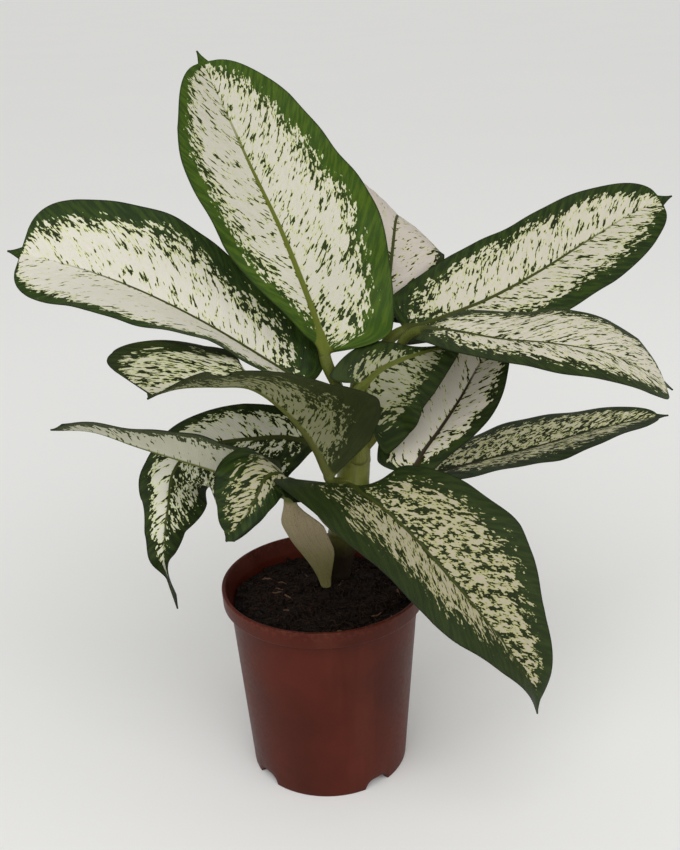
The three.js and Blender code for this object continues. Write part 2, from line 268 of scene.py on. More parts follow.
def buildVeinRelief(tree, source):
    look = reliefLook
    vein, across = source["Vein"], source["Across"]
    drift = calc(tree, "MULTIPLY", grainAt(tree, combine(tree, vein, across), 0.12), look["drift"])
    turnAt = calc(tree, "MULTIPLY", calc(tree, "ADD", vein, drift), 2 * math.pi / look["pitch"])
    lines = calc(tree, "POWER", calc(tree, "ABSOLUTE", calc(tree, "SINE", turnAt)), 0.6)
    x = calc(tree, "MULTIPLY", vein, look["cells"][0])
    y = calc(tree, "MULTIPLY", across, look["cells"][1])
    cells = grainAt(tree, combine(tree, x, y), 1.0, 3.0)
    risen = calc(tree, "MULTIPLY", lines, look["veinRise"])
    return {"Height": calc(tree, "MULTIPLY_ADD", cells, look["cellRise"], risen)}


veinEffect = effectGroup("veinRelief", {"Vein": 0.0, "Across": 0.0}, ("Height",), buildVeinRelief)


# Uneven tone at two sizes, for plastic, cane and soil.
def buildMottle(tree, source):
    coarse = grainAt(tree, source["Vector"], source["Coarse"], 3.0)
    fine = grainAt(tree, source["Vector"], source["Fine"], 4.0, 0.6)
    return {
        "Coarse": ramp(tree, coarse, 0.3, 0.7),
        "Fine": ramp(tree, fine, 0.3, 0.7),
        "Both": calc(tree, "MULTIPLY_ADD", coarse, 0.5, calc(tree, "MULTIPLY", fine, 0.5)),
    }


mottleInputs = {"Vector": None, "Coarse": 20.0, "Fine": 300.0}
mottleEffect = effectGroup("unevenTone", mottleInputs, ("Coarse", "Fine", "Both"), buildMottle)
print("effects ready")


# The cane. The leaves' stalks begin on its path.
caneLook = {
    "path": [[9, 24, 94], [10, 20, 118], [14, 13, 150], [19, 10, 176], [22, 11, 234]],
    "footRadius": 5.5,
    "fullRadius": 9.5,
    "filled": 0.55,           # how far along it has its full radius
    "jointPitch": 16.0,
    "jointRise": 0.3,
    "topTaper": 0.95,         # how far along its top begins to round off
    "sides": 64,
    "rows": 150,
    "skin": (100, 106, 38),
    "scar": (84, 84, 34),
    "pale": (124, 128, 56),
    "streak": (60, 66, 24),
    # brown corky foot of the cane, darkened further as painted shade under the leaves
    "bark": (46, 36, 24),
    "barkAndShadeTop": (165, 125),    # heights between which the dark brown foot, partly painted shade under the leaves, gives way to skin
    "bump": 0.0004,
}


def curveAt(points, t):
    # A smooth curve through the points, at t from 0 to 1.
    points = np.asarray(points, float)
    last = len(points) - 1
    ends = np.vstack([2 * points[0] - points[1], points, 2 * points[-1] - points[-2]])
    at = np.clip(t, 0, 1) * last
    i = np.minimum(at.astype(int), last - 1)
    f = (at - i)[:, None]
    p0, p1, p2, p3 = (ends[i + k] for k in range(4))
    m1, m2 = (p2 - p0) / 2, (p3 - p1) / 2
    return p1 + m1 * f + (3 * (p2 - p1) - 2 * m1 - m2) * f**2 + (2 * (p1 - p2) + m1 + m2) * f**3


def caneRadius(t):
    return mix(caneLook["footRadius"], caneLook["fullRadius"], smooth(t, 0, caneLook["filled"]))


def canePlace(z):
    # The middle of the cane at a height, and its radius there.
    t = np.linspace(0, 1, 400)
    path = curveAt(caneLook["path"], t)
    middle = np.array([np.interp(z, path[:, 2], path[:, axis]) for axis in range(3)])
    return middle, float(caneRadius(np.interp(z, path[:, 2], t)))


def caneFinish():
    look = caneLook
    material, tree, shader = newMaterial("caneSkin", **{"IOR": 1.45})
    spot = objectPlace(tree)
    mottle = useGroup(tree, mottleEffect, {"Vector": spot, "Coarse": 60.0, "Fine": 500.0})
    x, y, z = xyz(tree, spot)
    turnAt = calc(tree, "MULTIPLY", z, math.pi / (look["jointPitch"] * mm))
    joint = calc(tree, "POWER", calc(tree, "ABSOLUTE", calc(tree, "COSINE", turnAt)), 30.0)
    stretched = combine(tree, x, y, calc(tree, "MULTIPLY", z, 0.12))
    streaks = ramp(tree, grainAt(tree, stretched, 700.0, 3.0), 0.4, 0.7, 0.0, 0.25)
    colour = blend(tree, mottle["Coarse"], look["skin"], look["pale"])
    colour = blend(tree, streaks, colour, look["streak"])
    colour = blend(tree, calc(tree, "MULTIPLY", joint, 0.3), colour, look["scar"])
    # The cane's foot turns dark brown: corky skin there, and painted shade under the leaves.
    foot = ramp(tree, z, *(height * mm for height in look["barkAndShadeTop"]))
    colour = blend(tree, foot, colour, look["bark"])
    rough = ramp(tree, mottle["Fine"], 0.0, 1.0, 0.38, 0.58)
    dress(tree, shader, colour, rough, mottle["Both"], look["bump"])
    return material


def canePiece():
    look = caneLook
    t = np.linspace(0, 1, look["rows"] + 1)
    path = curveAt(look["path"], t)
    at = np.linspace(0, 2 * np.pi, look["sides"], endpoint=False)[None]
    z = path[:, 2:3]
    joint = np.abs(np.cos(np.pi * (z + 1.2 * np.sin(at)) / look["jointPitch"])) ** 18 * look["jointRise"]
    past = np.maximum(0, (t[:, None] - look["topTaper"]) / (1 - look["topTaper"]))
    radius = caneRadius(t[:, None]) * np.sqrt(1 - past**2 * 0.8) + joint + 0.15 * np.sin(5 * at + z / 9)
    points = path[:, None] + np.stack([radius * np.cos(at), radius * np.sin(at), 0 * radius], axis=-1)
    faces = tubeFaces(len(t), look["sides"])
    return fit(meshPiece("caneStem", points.reshape(-1, 3), faces, caneFinish()), "cane", "cane")


# Each leaf, by its node in the frame.
# node: height on the cane where the stalk leaves it, or foot: where it starts in the soil.
# rise: slope of the stalk there, in degrees. wing: how far its sheath stands out on the left and right.
# midrib: places from the blade's base to its tip. left, right: how far each half rises from level,
# evenly spaced from base to tip. half: widths left and right. shape: fullness towards the base and
# the tip, where less is rounder. lobe: how far each half's edge sweeps back at the base.
# wave: height, number and phase of the margin's ripples.
# band: width of the green margin on the left and the right half. flecks: how many lie on its pale middle.
# white, green, light: colours of the middle, of the margin and of the lighter green in it. rib: colour of
# the midrib. ribSpan: its width against the usual one. base: how green the blade's base is. keelSpan and
# under: width of the keel and colour of the white beneath. stalk, sheath, fibre: colours of the stalk and
# of its root, and how much its fibres show.
leaves = {
    "leaf_top": dict(
        node=230, rise=75,
        midrib=[[6, 10, 255], [3, 18, 269], [-6, 30, 294], [-17, 46, 320], [-32, 62, 351],
                [-44, 72, 378], [-60, 82, 414]],
        left=[3, 3, 3], right=[30, 30, 28],
        half=[47, 54], shape=[[1, 0.55], [0.34, 0.5]], lobe=[0, 18], wave=[2.5, 2.2, 0.1],
        # Its green and lighter green are brighter than on the other leaves: painted light shining through
        # the blade.
        band=(7.5, 9.5), flecks=(0.3, 0.5), white=(203, 199, 184), green=(48, 72, 10),
        light=(78, 102, 22), rib=(92, 100, 30), ribSpan=1.5),
    "leaf_left_high": dict(
        node=208, rise=60,
        midrib=[[-2, 12, 236], [-25, 16, 251], [-58, 21, 272], [-90, 26, 289], [-118, 29, 301],
                [-145, 30, 310], [-167, 30, 316]],
        left=[15, 12, -3, -23], right=[50, 55, 60, 58],
        half=[48, 45], shape=[[0.55, 0.35], [0.55, 0.35]], lobe=[6, 18], wave=[2, 2.5, 0.4],
        band=(6.0, 10.0), flecks=(-0.2, 0.1), white=(218, 214, 201), green=(32, 50, 12),
        light=(58, 80, 22)),
    "leaf_left_folded": dict(
        node=178, rise=60,
        midrib=[[6, -12, 191], [-2, -25, 218], [-15, -37, 242], [-31, -44, 258],
                [-49, -47, 261], [-65, -53, 263], [-75, -63, 264], [-80, -74, 265]],
        left=[60, 50, 28, 28, 35], right=[60, 40, 0, 15, 30],
        half=[47, 41], shape=[[0.4, 0.5], [0.5, 0.2]], lobe=[6, 6], wave=[2, 2, 0.2],
        band=(13.0, 5.0), flecks=(1.0, 1.4), white=(206, 202, 184), green=(30, 40, 12),
        # Its white beneath is yellower and much darker than the other leaves': the darkness is painted shade
        # on the lower face.
        light=(54, 66, 22), keelSpan=1.5, under=(112, 116, 62)),
    "leaf_left_long": dict(
        node=150, rise=45,
        midrib=[[-20, -5, 187], [-41, -13, 194], [-63, -25, 208], [-93, -37, 225],
                [-116, -41, 236], [-138, -40, 237]],
        left=[50, 55, 55, 52], right=[50, 50, 50],
        half=[25, 6], shape=[[0.2, 0.7], [0.5, 0.9]], lobe=[0, 0], wave=[1.5, 2, 0.2],
        band=(4.0, 3.0), flecks=(-0.1, 0.6), white=(214, 211, 202), green=(32, 46, 18),
        light=(60, 76, 30)),
    "leaf_left_drooping": dict(
        node=188, rise=50,
        midrib=[[2, 10, 201], [-17, 8, 208], [-37, 3, 210], [-57, -2, 210], [-72, -8, 207],
                [-81, -14, 197], [-84, -19, 181], [-87, -22, 164], [-88, -24, 144],
                [-83, -26, 119]],
        left=[-86, -86, -84, -70, 0], right=[40, 50, 24, 30, 35],
        half=[60, 21], shape=[[1.6, 2.9], [0.5, 1.1]], lobe=[6, 6], wave=[2, 2, 0.3],
        band=(4.0, 4.0), flecks=(1.8, 0.3), white=(216, 214, 198), green=(28, 40, 12),
        light=(54, 70, 22)),
    "leaf_front_low": dict(
        foot=[2, 12, 103], rise=75, wing=[14, 5],
        midrib=[[-16, -28, 186], [-16, -35, 201], [-20, -43, 209], [-27, -52, 210],
                [-31, -59, 204], [-38, -65, 194], [-48, -69, 183]],
        left=[-20, -50, -40, -30], right=[0, 20, 26, 30],
        half=[18, 24], shape=[[0.4, 1.3], [0.6, 0.5]], lobe=[4, 4], wave=[1, 2, 0.3],
        band=(4.0, 5.5), flecks=(1.0, 1.0), white=(176, 170, 148), green=(30, 44, 14),
        light=(58, 76, 24), stalk=(160, 146, 116), sheath=(150, 146, 88), fibre=0.2),
    "leaf_front_hanging": dict(
        node=160, rise=50,
        midrib=[[17, -32, 194], [24, -45, 196], [36, -55, 190], [50, -63, 178], [67, -71, 159],
                [82, -77, 141], [97, -82, 121], [109, -86, 102], [113, -87, 83]],
        left=[-5, 26, 43, 42, 40], right=[24, 8, 0, 2, 2],
        half=[48, 50], shape=[[0.6, 0.85], [0.2, 0.9]], lobe=[10, 24], wave=[2.5, 2, 0.2],
        band=(6.5, 10.5), flecks=(1.4, 1.1), white=(178, 170, 148), green=(34, 46, 16),
        light=(50, 64, 24), base=1.8),
    "leaf_right_low": dict(
        node=156, rise=35,
        midrib=[[58, 20, 174], [90, 32, 177], [127, 40, 182], [163, 44, 190], [193, 45, 196],
                [210, 44, 199]],
        left=[2, 2], right=[11, 11],
        half=[37, 34], shape=[[0.6, 0.6], [0.6, 0.6]], lobe=[6, 6], wave=[1.5, 2, 0.3],
        band=(4.0, 6.0), flecks=(1.5, 1.5), white=(222, 216, 190), green=(28, 42, 8),
        light=(52, 70, 18), rib=(50, 48, 22), ribSpan=1.3),
    "leaf_right_upright": dict(
        node=170, rise=45,
        midrib=[[52, -2, 186], [60, 6, 197], [70, 14, 207], [83, 26, 221], [94, 36, 236],
                [108, 46, 255]],
        left=[33, 33], right=[-17, -17],
        half=[30, 21], shape=[[0.4, 0.6], [0.8, 0.6]], lobe=[14, 14], wave=[1, 2, 0.3],
        band=(3.5, 3.8), flecks=(0.0, 0.4), white=(218, 211, 198), green=(30, 42, 10),
        light=(54, 70, 20), rib=(58, 48, 32)),
    "leaf_right_arched": dict(
        node=201, rise=45,
        midrib=[[61, 11, 268], [75, 0, 271], [99, -15, 270], [125, -26, 270], [152, -33, 266],
                [172, -36, 257], [187, -37, 246]],
        left=[5, 5], right=[-5, -5],
        half=[47, 32], shape=[[0.45, 0.24], [0.45, 0.24]], lobe=[14, 8], wave=[1, 2, 0.2],
        band=(5.0, 6.0), flecks=(0.7, 0.8), white=(212, 206, 190), green=(32, 44, 14),
        light=(54, 70, 22)),
    "leaf_right_high": dict(
        node=214, rise=50,
        midrib=[[51, 33, 261], [72, 42, 265], [102, 54, 272], [133, 63, 285], [165, 71, 302],
                [189, 75, 315], [212, 77, 324]],
        left=[43, 46, 46, 46], right=[-5, -25, -30, -30],
        half=[35, 34], shape=[[0.4, 0.5], [0.6, 0.45]], lobe=[18, 30], wave=[2, 2.2, 0.6],
        band=(5.5, 7.5), flecks=(0.5, 0.5), white=(200, 195, 178), green=(28, 42, 8),
        light=(56, 76, 18), base=1.8),
    "leaf_back_upright": dict(
        node=228, rise=75,
        midrib=[[36, 50, 262], [43, 56, 278], [47, 66, 299], [50, 82, 313], [53, 104, 312],
                [53, 126, 296], [53, 144, 272]],
        left=[40, 40], right=[-40, -40],
        half=[36, 36], shape=[[0.5, 0.6], [0.5, 0.6]], lobe=[6, 6], wave=[1.5, 2, 0.2],
        band=(4.0, 4.0), flecks=(-0.1, 0.1), white=(198, 189, 178), green=(32, 40, 16),
        light=(52, 62, 26)),
    "leaf_right_inner": dict(
        node=194, rise=60,
        midrib=[[26, -5, 242], [36, -2, 250], [48, 0, 255], [61, 5, 257], [72, 9, 258],
                [82, 13, 258]],
        left=[58, 32, -4, -20], right=[-90, -76, -60],
        half=[19, 41], shape=[[0.35, 1.6], [0.12, 0.85]], lobe=[22, 36], wave=[1, 2, 0.2],
        band=(6.0, 9.5), flecks=(0.6, 0.4), white=(152, 151, 128), green=(30, 42, 12),
        light=(54, 70, 22), rib=(88, 94, 34), ribSpan=1.4),
}

leafBuild = {
    "bladeRows": 150,        # rows of faces along a blade
    "stalkRows": 22,
    "columns": 20,           # columns on each side of the midrib
    "stalkRadiusRoot": 4.4,
    "stalkRadiusBlade": 3.3,
    "stalkRadiusSoil": 2.8,
    "stalkFlatness": 0.85,
    "stalkWrap": 0.9,        # how much of a half turn each face of a stalk covers
    "stalkReach": 0.4,
    "stalkChannel": 1.5,     # depth of the groove on the stalk's upper side
    "channelWidth": 0.42,
    "rootDepth": 2.8,        # of a stalk's root under the skin of the cane
    "rootSpread": 0.3,       # a stalk is this much wider where it clasps the cane
    "wing": (0.55, 0.75),    # where along the stalk a wing is at its widest, from and to
    "bladeOpening": 0.08,
    "lobeReach": 0.35,
    "rippleShift": 0.35,
    "thickness": 0.6,
    "edgeThickness": 0.35,
    "ribDepth": (3.0, 0.4),  # keel under the midrib, at the base and at the tip
    "ribWidth": (3.6, 0.7),
    "ribGroove": 0.55,
    "creaseRound": 2.2,
    "tipHalfWidth": 0.5,
    "cuspHalfWidth": 4.5,
    "cuspStart": 0.96,
    "cuspTaper": 1.5,
    "veinPitch": 8.0,        # between side veins
    "veinRise": 0.2,
    "cupping": 1.2,          # how far each half bulges between midrib and margin
}

def evenAlong(points, t):
    # The curve's own parameter at shares t of its length, and the length.
    fine = np.linspace(0, 1, 801)
    steps = np.linalg.norm(np.diff(curveAt(points, fine), axis=0), axis=1)
    run = np.concatenate([[0], np.cumsum(steps)])
    return np.interp(t * run[-1], run, fine), run[-1]


def crossFrame(ahead, roll):
    level = unit(np.stack([ahead[:, 1], -ahead[:, 0], np.zeros(len(ahead))], axis=-1))
    top = np.cross(level, ahead)
    right = level * np.cos(roll)[:, None] + top * np.sin(roll)[:, None]
    return right, np.cross(right, ahead)


def halfWidth(leaf, side, t):
    build = leafBuild
    full, pointed = leaf["shape"][side]
    s = np.minimum(t / build["cuspStart"], 1)
    widest = full / (full + pointed)
    outline = (s / widest) ** full * ((1 - s) / (1 - widest)) ** pointed
    drawnOut = np.minimum(1, (1 - t) / (1 - build["cuspStart"])) ** build["cuspTaper"]
    return build["tipHalfWidth"] + leaf["half"][side] * outline + build["cuspHalfWidth"] * t**4 * drawnOut


def columnPlaces():
    # From -1 at the left margin to 1 at the right, closer together near the midrib and at the edge.
    one = np.linspace(0, 1, leafBuild["columns"]) ** 1.35 * 0.985
    one = np.append(one, 1.0)
    return np.concatenate([-one[:0:-1], one])


def midribSection(leaf, t):
    # The midrib's places and directions at shares t of its length, the halves' fold, and the length.
    at, length = evenAlong(leaf["midrib"], t)
    ahead = unit(curveAt(leaf["midrib"], at + 1e-4) - curveAt(leaf["midrib"], at - 1e-4))
    left, right = between(leaf["left"], t), between(leaf["right"], t)
    across, up = crossFrame(ahead, np.radians((right - left) / 2))
    return (curveAt(leaf["midrib"], at), across, up), ahead, np.radians((left + right) / 2), length


def marginRipple(leaf, rows, u):
    height, count, phase = leaf["wave"]
    w = np.abs(u)
    cycle = 2 * np.pi * (count * rows + phase + (u > 0) * leafBuild["rippleShift"])
    waves = w * w * np.sin(cycle) + 0.25 * w**4 * np.sin(cycle * 2.7 + 1)
    return height * waves * np.sin(np.pi * rows)


def bladeLift(rows, w, out, inward, vein, above):
    # The height of a face over the middle of the blade, with its side veins, bulge, groove and keel.
    build = leafBuild
    quilt = np.cos(2 * np.pi * (vein + 1.5 * np.sin(vein / 23)) / build["veinPitch"])
    relief = build["veinRise"] * quilt * smooth(out, 2, 10) * smooth(inward, 1, 8)
    relief = relief + build["cupping"] * np.sin(np.pi * w) * np.sin(np.pi * rows)
    thick = mix(build["thickness"], build["edgeThickness"], w) / 2
    ribWide = mix(*build["ribWidth"], rows)
    if above:
        return relief + thick - build["ribGroove"] * hump(out, ribWide * 0.6) * (1 - rows)
    return relief - thick - mix(*build["ribDepth"], rows) * hump(out, ribWide * 0.75)


def bladeSurface(leaf, t, u, above):
    # Points of one face of the blade, rows by columns, and the coordinates that its pattern uses.
    build = leafBuild
    section, ahead, fold, length = midribSection(leaf, t)
    middle, across, up = (part[:, None] for part in section)
    rows, fold, u = t[:, None], fold[:, None], u[None]
    w, sign = np.abs(u), np.where(u < 0, -1, 1)
    width = np.where(u < 0, halfWidth(leaf, 0, rows), halfWidth(leaf, 1, rows))
    out = width * w
    inward = width - out
    vein = rows * length - out * (0.55 + 0.5 * rows) - 0.003 * out**2
    lift = bladeLift(rows, w, out, inward, vein, above)
    curl = np.sqrt(out**2 + build["creaseRound"] ** 2)
    lean = fold * out / curl
    x = sign * (out * np.cos(fold) - lift * np.sin(lean))
    z = np.sin(fold) * (curl - build["creaseRound"]) + lift * np.cos(lean) + marginRipple(leaf, rows, u)
    back = np.where(u < 0, *leaf["lobe"]) * w * np.maximum(0, 1 - rows / build["lobeReach"]) ** 2
    points = middle + x[..., None] * across + z[..., None] * up - back[..., None] * ahead[:, None]
    flat = np.stack([vein, sign * out, inward], axis=-1)
    ribOut = out / mix(*build["ribWidth"], rows) * 2
    rib = np.stack([ribOut, rows + 0 * vein, above + 0 * vein], axis=-1)
    chart = np.stack([sign * out, rows * length + 0 * vein], axis=-1)
    return points, flat, rib, chart, section


def stalkRing(section, radius, u, above, channel, wing=0.0):
    # Points round one face of a stalk. The wing is how far the sheath stands out.
    build = leafBuild
    middle, across, up = (part[:, None] for part in section)
    at = u[None] * math.pi / 2 * build["stalkWrap"]
    side = radius * np.sin(at) + u[None] * np.abs(u[None]) * wing
    tall = radius * np.cos(at) * build["stalkFlatness"] * (1 if above else -1)
    if above:
        tall = tall - channel * hump(u[None], build["channelWidth"])
    return middle + side[..., None] * across + tall[..., None] * up


def stalkLine(leaf):
    # The four points that bend a stalk from its root to the blade's base, and its direction at both.
    build = leafBuild
    base = np.array(leaf["midrib"][0], float)
    if "foot" in leaf:
        middle, thick = np.array(leaf["foot"], float), build["rootDepth"]
    else:
        middle, thick = canePlace(leaf["node"])
    away = unit((base - middle) * [1, 1, 0])
    slope = math.radians(leaf["rise"])
    start = away * math.cos(slope) + np.array([0, 0, math.sin(slope)])
    root = middle + away * (thick - build["rootDepth"])
    end = unit(curveAt(leaf["midrib"], np.array([2e-4])) - base)[0]
    reach = np.linalg.norm(base - root) * build["stalkReach"]
    return [root, root + start * reach, base - end * reach, base], away, end


def stalkSection(leaf, knots, away, end, s):
    # The stalk's places and directions at shares s of its way.
    weights = [(1 - s) ** 3, 3 * s * (1 - s) ** 2, 3 * s**2 * (1 - s), s**3]
    slopes = [(1 - s) ** 2, 2 * s * (1 - s), s**2]
    path = sum(knot * weight for knot, weight in zip(knots, weights))
    ahead = unit(sum((knots[i + 1] - knots[i]) * slopes[i] for i in range(3)))
    roll = np.radians([(leaf["right"][0] - leaf["left"][0]) / 2])
    atRoot = np.array([away[1], -away[0], 0])
    up = unit(np.cross(mix(atRoot, crossFrame(end[None], roll)[0], s * s), ahead))
    return path, np.cross(ahead, up), up


def stalkWing(leaf, s, u):
    # A stalk without a sheath is only a little wider where it clasps the cane.
    build = leafBuild
    if "wing" not in leaf:
        return build["rootSpread"] * build["stalkRadiusRoot"] * (1 - s) ** 2
    spread = smooth(s, 0, build["wing"][0]) * (1 - smooth(s, build["wing"][1], 1))
    return spread * np.where(u[None] < 0, *leaf["wing"])


def stalkSurface(leaf, u, above):
    build = leafBuild
    knots, away, end = stalkLine(leaf)
    s = np.linspace(0, 1, build["stalkRows"] + 1)[:-1, None]
    section = stalkSection(leaf, knots, away, end, s)
    thick = build["stalkRadiusSoil"] if "foot" in leaf else build["stalkRadiusRoot"]
    radius = mix(thick, build["stalkRadiusBlade"], s)
    wing = stalkWing(leaf, s, u)
    points = stalkRing(section, radius, u, above, build["stalkChannel"] * (1 - 0.75 * s), wing)
    long = np.linalg.norm(knots[3] - knots[0]) * 1.1
    side = radius * u[None] * 1.4 + u[None] * np.abs(u[None]) * wing
    run = (s - 1) * long + 0 * side
    flat = np.stack([run, side, 40 + 0 * side], axis=-1)
    rib = np.stack([0 * side, s - 1 + 0 * side, above + 0 * side], axis=-1)
    return points, flat, rib, np.stack([side, run], axis=-1)


def leafFace(leaf, above):
    # The stalk and the blade of one face, from the root to the tip.
    build = leafBuild
    u = columnPlaces()
    even = np.linspace(0, 1, build["bladeRows"] + 1)
    t = mix(even, 0.5 - 0.5 * np.cos(np.pi * even), 0.5)
    points, flat, rib, chart, section = bladeSurface(leaf, t, u, above)
    tube = stalkRing(section, build["stalkRadiusBlade"], u, above, build["stalkChannel"] * 0.25)
    points = mix(tube, points, smooth(t, 0, build["bladeOpening"])[:, None, None])
    rib[..., 0] *= smooth(t, 0.0, 0.1)[:, None]
    stalk = stalkSurface(leaf, u, above)
    return [np.concatenate([s, f]) for s, f in zip(stalk, (points, flat, rib, chart))]


def leafPiece(node, leaf, index, material):
    top, under = (leafFace(leaf, above) for above in (1, 0))
    points, flat, rib, chart = (np.concatenate([a, b[:, ::-1]], axis=1) for a, b in zip(top, under))
    rows, ring = points.shape[:2]
    piece = meshPiece(camelName(node), points.reshape(-1, 3), tubeFaces(rows, ring, flip=True), material)
    flat[..., 0] += 211.0 * index   # no two leaves share a pattern
    vectorAttribute(piece, "leafPlace", flat)
    vectorAttribute(piece, "ribPlace", rib)
    bakeMap(piece, chart)
    return fit(piece, "leaf", node)


def bakeMap(piece, chart, margin=3.0, edge=0.4):
    # Both faces laid out flat side by side, with the stalk below the blade.
    rows, ring = chart.shape[:2]
    flat = chart.reshape(-1, 2).copy()
    under = (np.arange(rows * ring) % ring) >= ring // 2
    low, high = flat.min(axis=0), flat.max(axis=0)
    shift = high[0] - low[0] + margin
    flat[under, 0] = -flat[under, 0] + low[0] + high[0] + shift
    size = max(2 * shift + margin, high[1] - low[1] + 2 * margin)
    flat = (flat - low + margin) / size
    mesh = piece.data
    corner = np.zeros(len(mesh.loops), np.int32)
    mesh.loops.foreach_get("vertex_index", corner)
    spots = flat[corner]
    for face in mesh.polygons:
        used = slice(face.loop_start, face.loop_start + face.loop_total)
        thin, own = under[corner[used]], spots[used]
        if thin.all() or not thin.any():
            continue
        # a face between the two sides, or an end, gets a thin strip beside the upper one
        isEnd = face.loop_total > 4
        own[thin, 0] = own[~thin, 0].mean() if isEnd else own[~thin, 0][0]
        own[thin, 0] += edge / size * (1 if own[0, 0] > 0.25 * shift / size else -1)
        if isEnd:
            own[:, 1] = own[:, 1].mean()
    layer = mesh.uv_layers.new(name="OFBake")
    layer.data.foreach_set("uv", spots.astype(np.float32).ravel())


leafSkin = {
    "tint": (238, 250, 184),       # over the white near the green
    "tintShare": 0.9,
    "lightShare": 0.6,
    "fleck": (26, 34, 6),          # the darker green of flecks on the pale middle
    "fleckShare": 0.75,
    "rib": (60, 66, 24),
    "stalk": (88, 94, 36),
    "sheath": (128, 130, 66),
    "underGreen": (40, 50, 16),    # the lower face is duller
    "underWhite": (172, 173, 146),
    "dullShares": (0.4, 0.7),      # of the lower face's green and white
    "keel": (98, 102, 50),
    "edge": (24, 32, 16),
    "gloss": 0.17,
    "rough": (0.38, 0.52),
    "underRougher": 0.15,
    "bump": 0.00022,
}


def eachHalf(tree, pair, onRight):
    # A value for the left half and one for the right.
    return calc(tree, "MULTIPLY_ADD", onRight, pair[1] - pair[0], pair[0])


def stalkColour(tree, look, vein, across, along):
    # Fibres and dark specks on a stalk that is paler towards its root.
    fibre = combine(tree, calc(tree, "DIVIDE", vein, 18.0), calc(tree, "MULTIPLY", across, 1.4))
    speck = combine(tree, vein, calc(tree, "MULTIPLY", across, 1.6), 7.0)
    skin, sheath = (look.get(part, leafSkin[part]) for part in ("stalk", "sheath"))
    colour = blend(tree, ramp(tree, along, -0.25, -0.85, 0.0, 0.8), skin, sheath)
    fibres = ramp(tree, grainAt(tree, fibre, 1.0, 3.0), 0.46, 0.66, 0.0, look.get("fibre", 0.35))
    colour = blend(tree, fibres, colour, look["light"])
    specks = ramp(tree, grainAt(tree, speck, 1.1, 2.0), 0.6, 0.68, 0.0, 0.5)
    return blend(tree, specks, colour, look["green"])


def greenCover(tree, look, vein, across, inward, rib, along):
    # How green a spot of the blade is: a margin of uneven width, a paler middle, a green base and midrib.
    onRight = ramp(tree, across, -0.5, 0.5)
    wide = grainAt(tree, veinSpot(tree, vein, across, 22.0, 26.0), 1.0)
    ragged = grainAt(tree, veinSpot(tree, vein, across, 4.6, 3.8, 5.0), 1.0)
    drift = calc(tree, "MULTIPLY_ADD", calc(tree, "MULTIPLY_ADD", ragged, 0.4, wide), 1.6, -1.12)
    depth = calc(tree, "DIVIDE", inward, eachHalf(tree, look["band"], onRight))
    depth = calc(tree, "ADD", depth, drift)
    cover = calc(tree, "ADD", ramp(tree, depth, 0.2, 1.5, 3.0, 0.0), ramp(tree, depth, 1.1, 3.0, 0.0, -1.6))
    for more in (
        eachHalf(tree, look["flecks"], onRight),
        ramp(tree, rib, 0.6, 2.6, 0.8, 0.0),
        ramp(tree, along, 0.22, 0.02, 0.0, look.get("base", 0.8)),
    ):
        cover = calc(tree, "ADD", cover, more)
    return cover


def bladeTones(tree, look, flecks, cover):
    # The green, darker where it is a fleck, and the white, tinted near the green.
    tone = calc(tree, "MULTIPLY", flecks["Tone"], leafSkin["lightShare"])
    green = blend(tree, tone, look["green"], look["light"])
    fleckShare = ramp(tree, cover, 0.9, -0.3, 0.0, leafSkin["fleckShare"])
    near = calc(tree, "MULTIPLY", flecks["Near"], leafSkin["tintShare"])
    white = blend(tree, near, look["white"], leafSkin["tint"], "MULTIPLY")
    return blend(tree, fleckShare, green, leafSkin["fleck"]), white


def upperFace(tree, look, mask, green, white, rib, along):
    span = look.get("ribSpan", 1.0)
    onRib = calc(tree, "MULTIPLY", ramp(tree, rib, 0.95 * span, 0.65 * span), ramp(tree, along, 0.95, 0.6))
    colour = blend(tree, mask, white, green)
    return blend(tree, onRib, colour, look.get("rib", leafSkin["rib"]))


def lowerFace(tree, look, mask, green, white, rib):
    dullGreen = blend(tree, leafSkin["dullShares"][0], green, leafSkin["underGreen"])
    # Where a leaf gives its own white beneath, as leaf_left_folded does, it is darkened as painted shade.
    dull = blend(tree, leafSkin["dullShares"][1], white, look.get("under", leafSkin["underWhite"]))
    colour = blend(tree, calc(tree, "MULTIPLY", mask, 0.94), dull, dullGreen)
    span = look.get("keelSpan", 1.0)
    return blend(tree, ramp(tree, rib, 1.3 * span, 0.7 * span), colour, leafSkin["keel"])


def leafFinish(node, look):
    name = camelName(node.replace("leaf", "leaf_skin"))
    material, tree, shader = newMaterial(name, **{"IOR": 1.45, "Specular IOR Level": leafSkin["gloss"]})
    (vein, across, inward), (rib, along, above) = (
        xyz(tree, place(tree, "ShaderNodeAttribute", attribute_name=kind).outputs["Vector"])
        for kind in ("leafPlace", "ribPlace")
    )
    cover = greenCover(tree, look, vein, across, inward, rib, along)
    flecks = useGroup(tree, fleckEffect, {"Vein": vein, "Across": across, "Cover": cover})
    green, white = bladeTones(tree, look, flecks, cover)
    upper = upperFace(tree, look, flecks["Green"], green, white, rib, along)
    lower = lowerFace(tree, look, flecks["Green"], green, white, rib)
    blade = blend(tree, above, lower, upper)
    blade = blend(tree, ramp(tree, inward, 1.2, 0.3, 0.0, 0.6), blade, leafSkin["edge"])
    stalk = stalkColour(tree, look, vein, across, along)
    colour = blend(tree, ramp(tree, along, 0.03, -0.03), blade, stalk)
    height = useGroup(tree, veinEffect, {"Vein": vein, "Across": across})["Height"]
    duller = ramp(tree, above, 0.0, 1.0, leafSkin["underRougher"], 0.0)
    rough = calc(tree, "ADD", ramp(tree, height, 0.2, 0.8, *leafSkin["rough"]), duller)
    dress(tree, shader, colour, rough, height, leafSkin["bump"])
    return material


for index, (node, leaf) in enumerate(leaves.items()):
    leafPiece(node, leaf, index, leafFinish(node, leaf))
    print("leaf made:", node)

canePiece()
print("cane made")


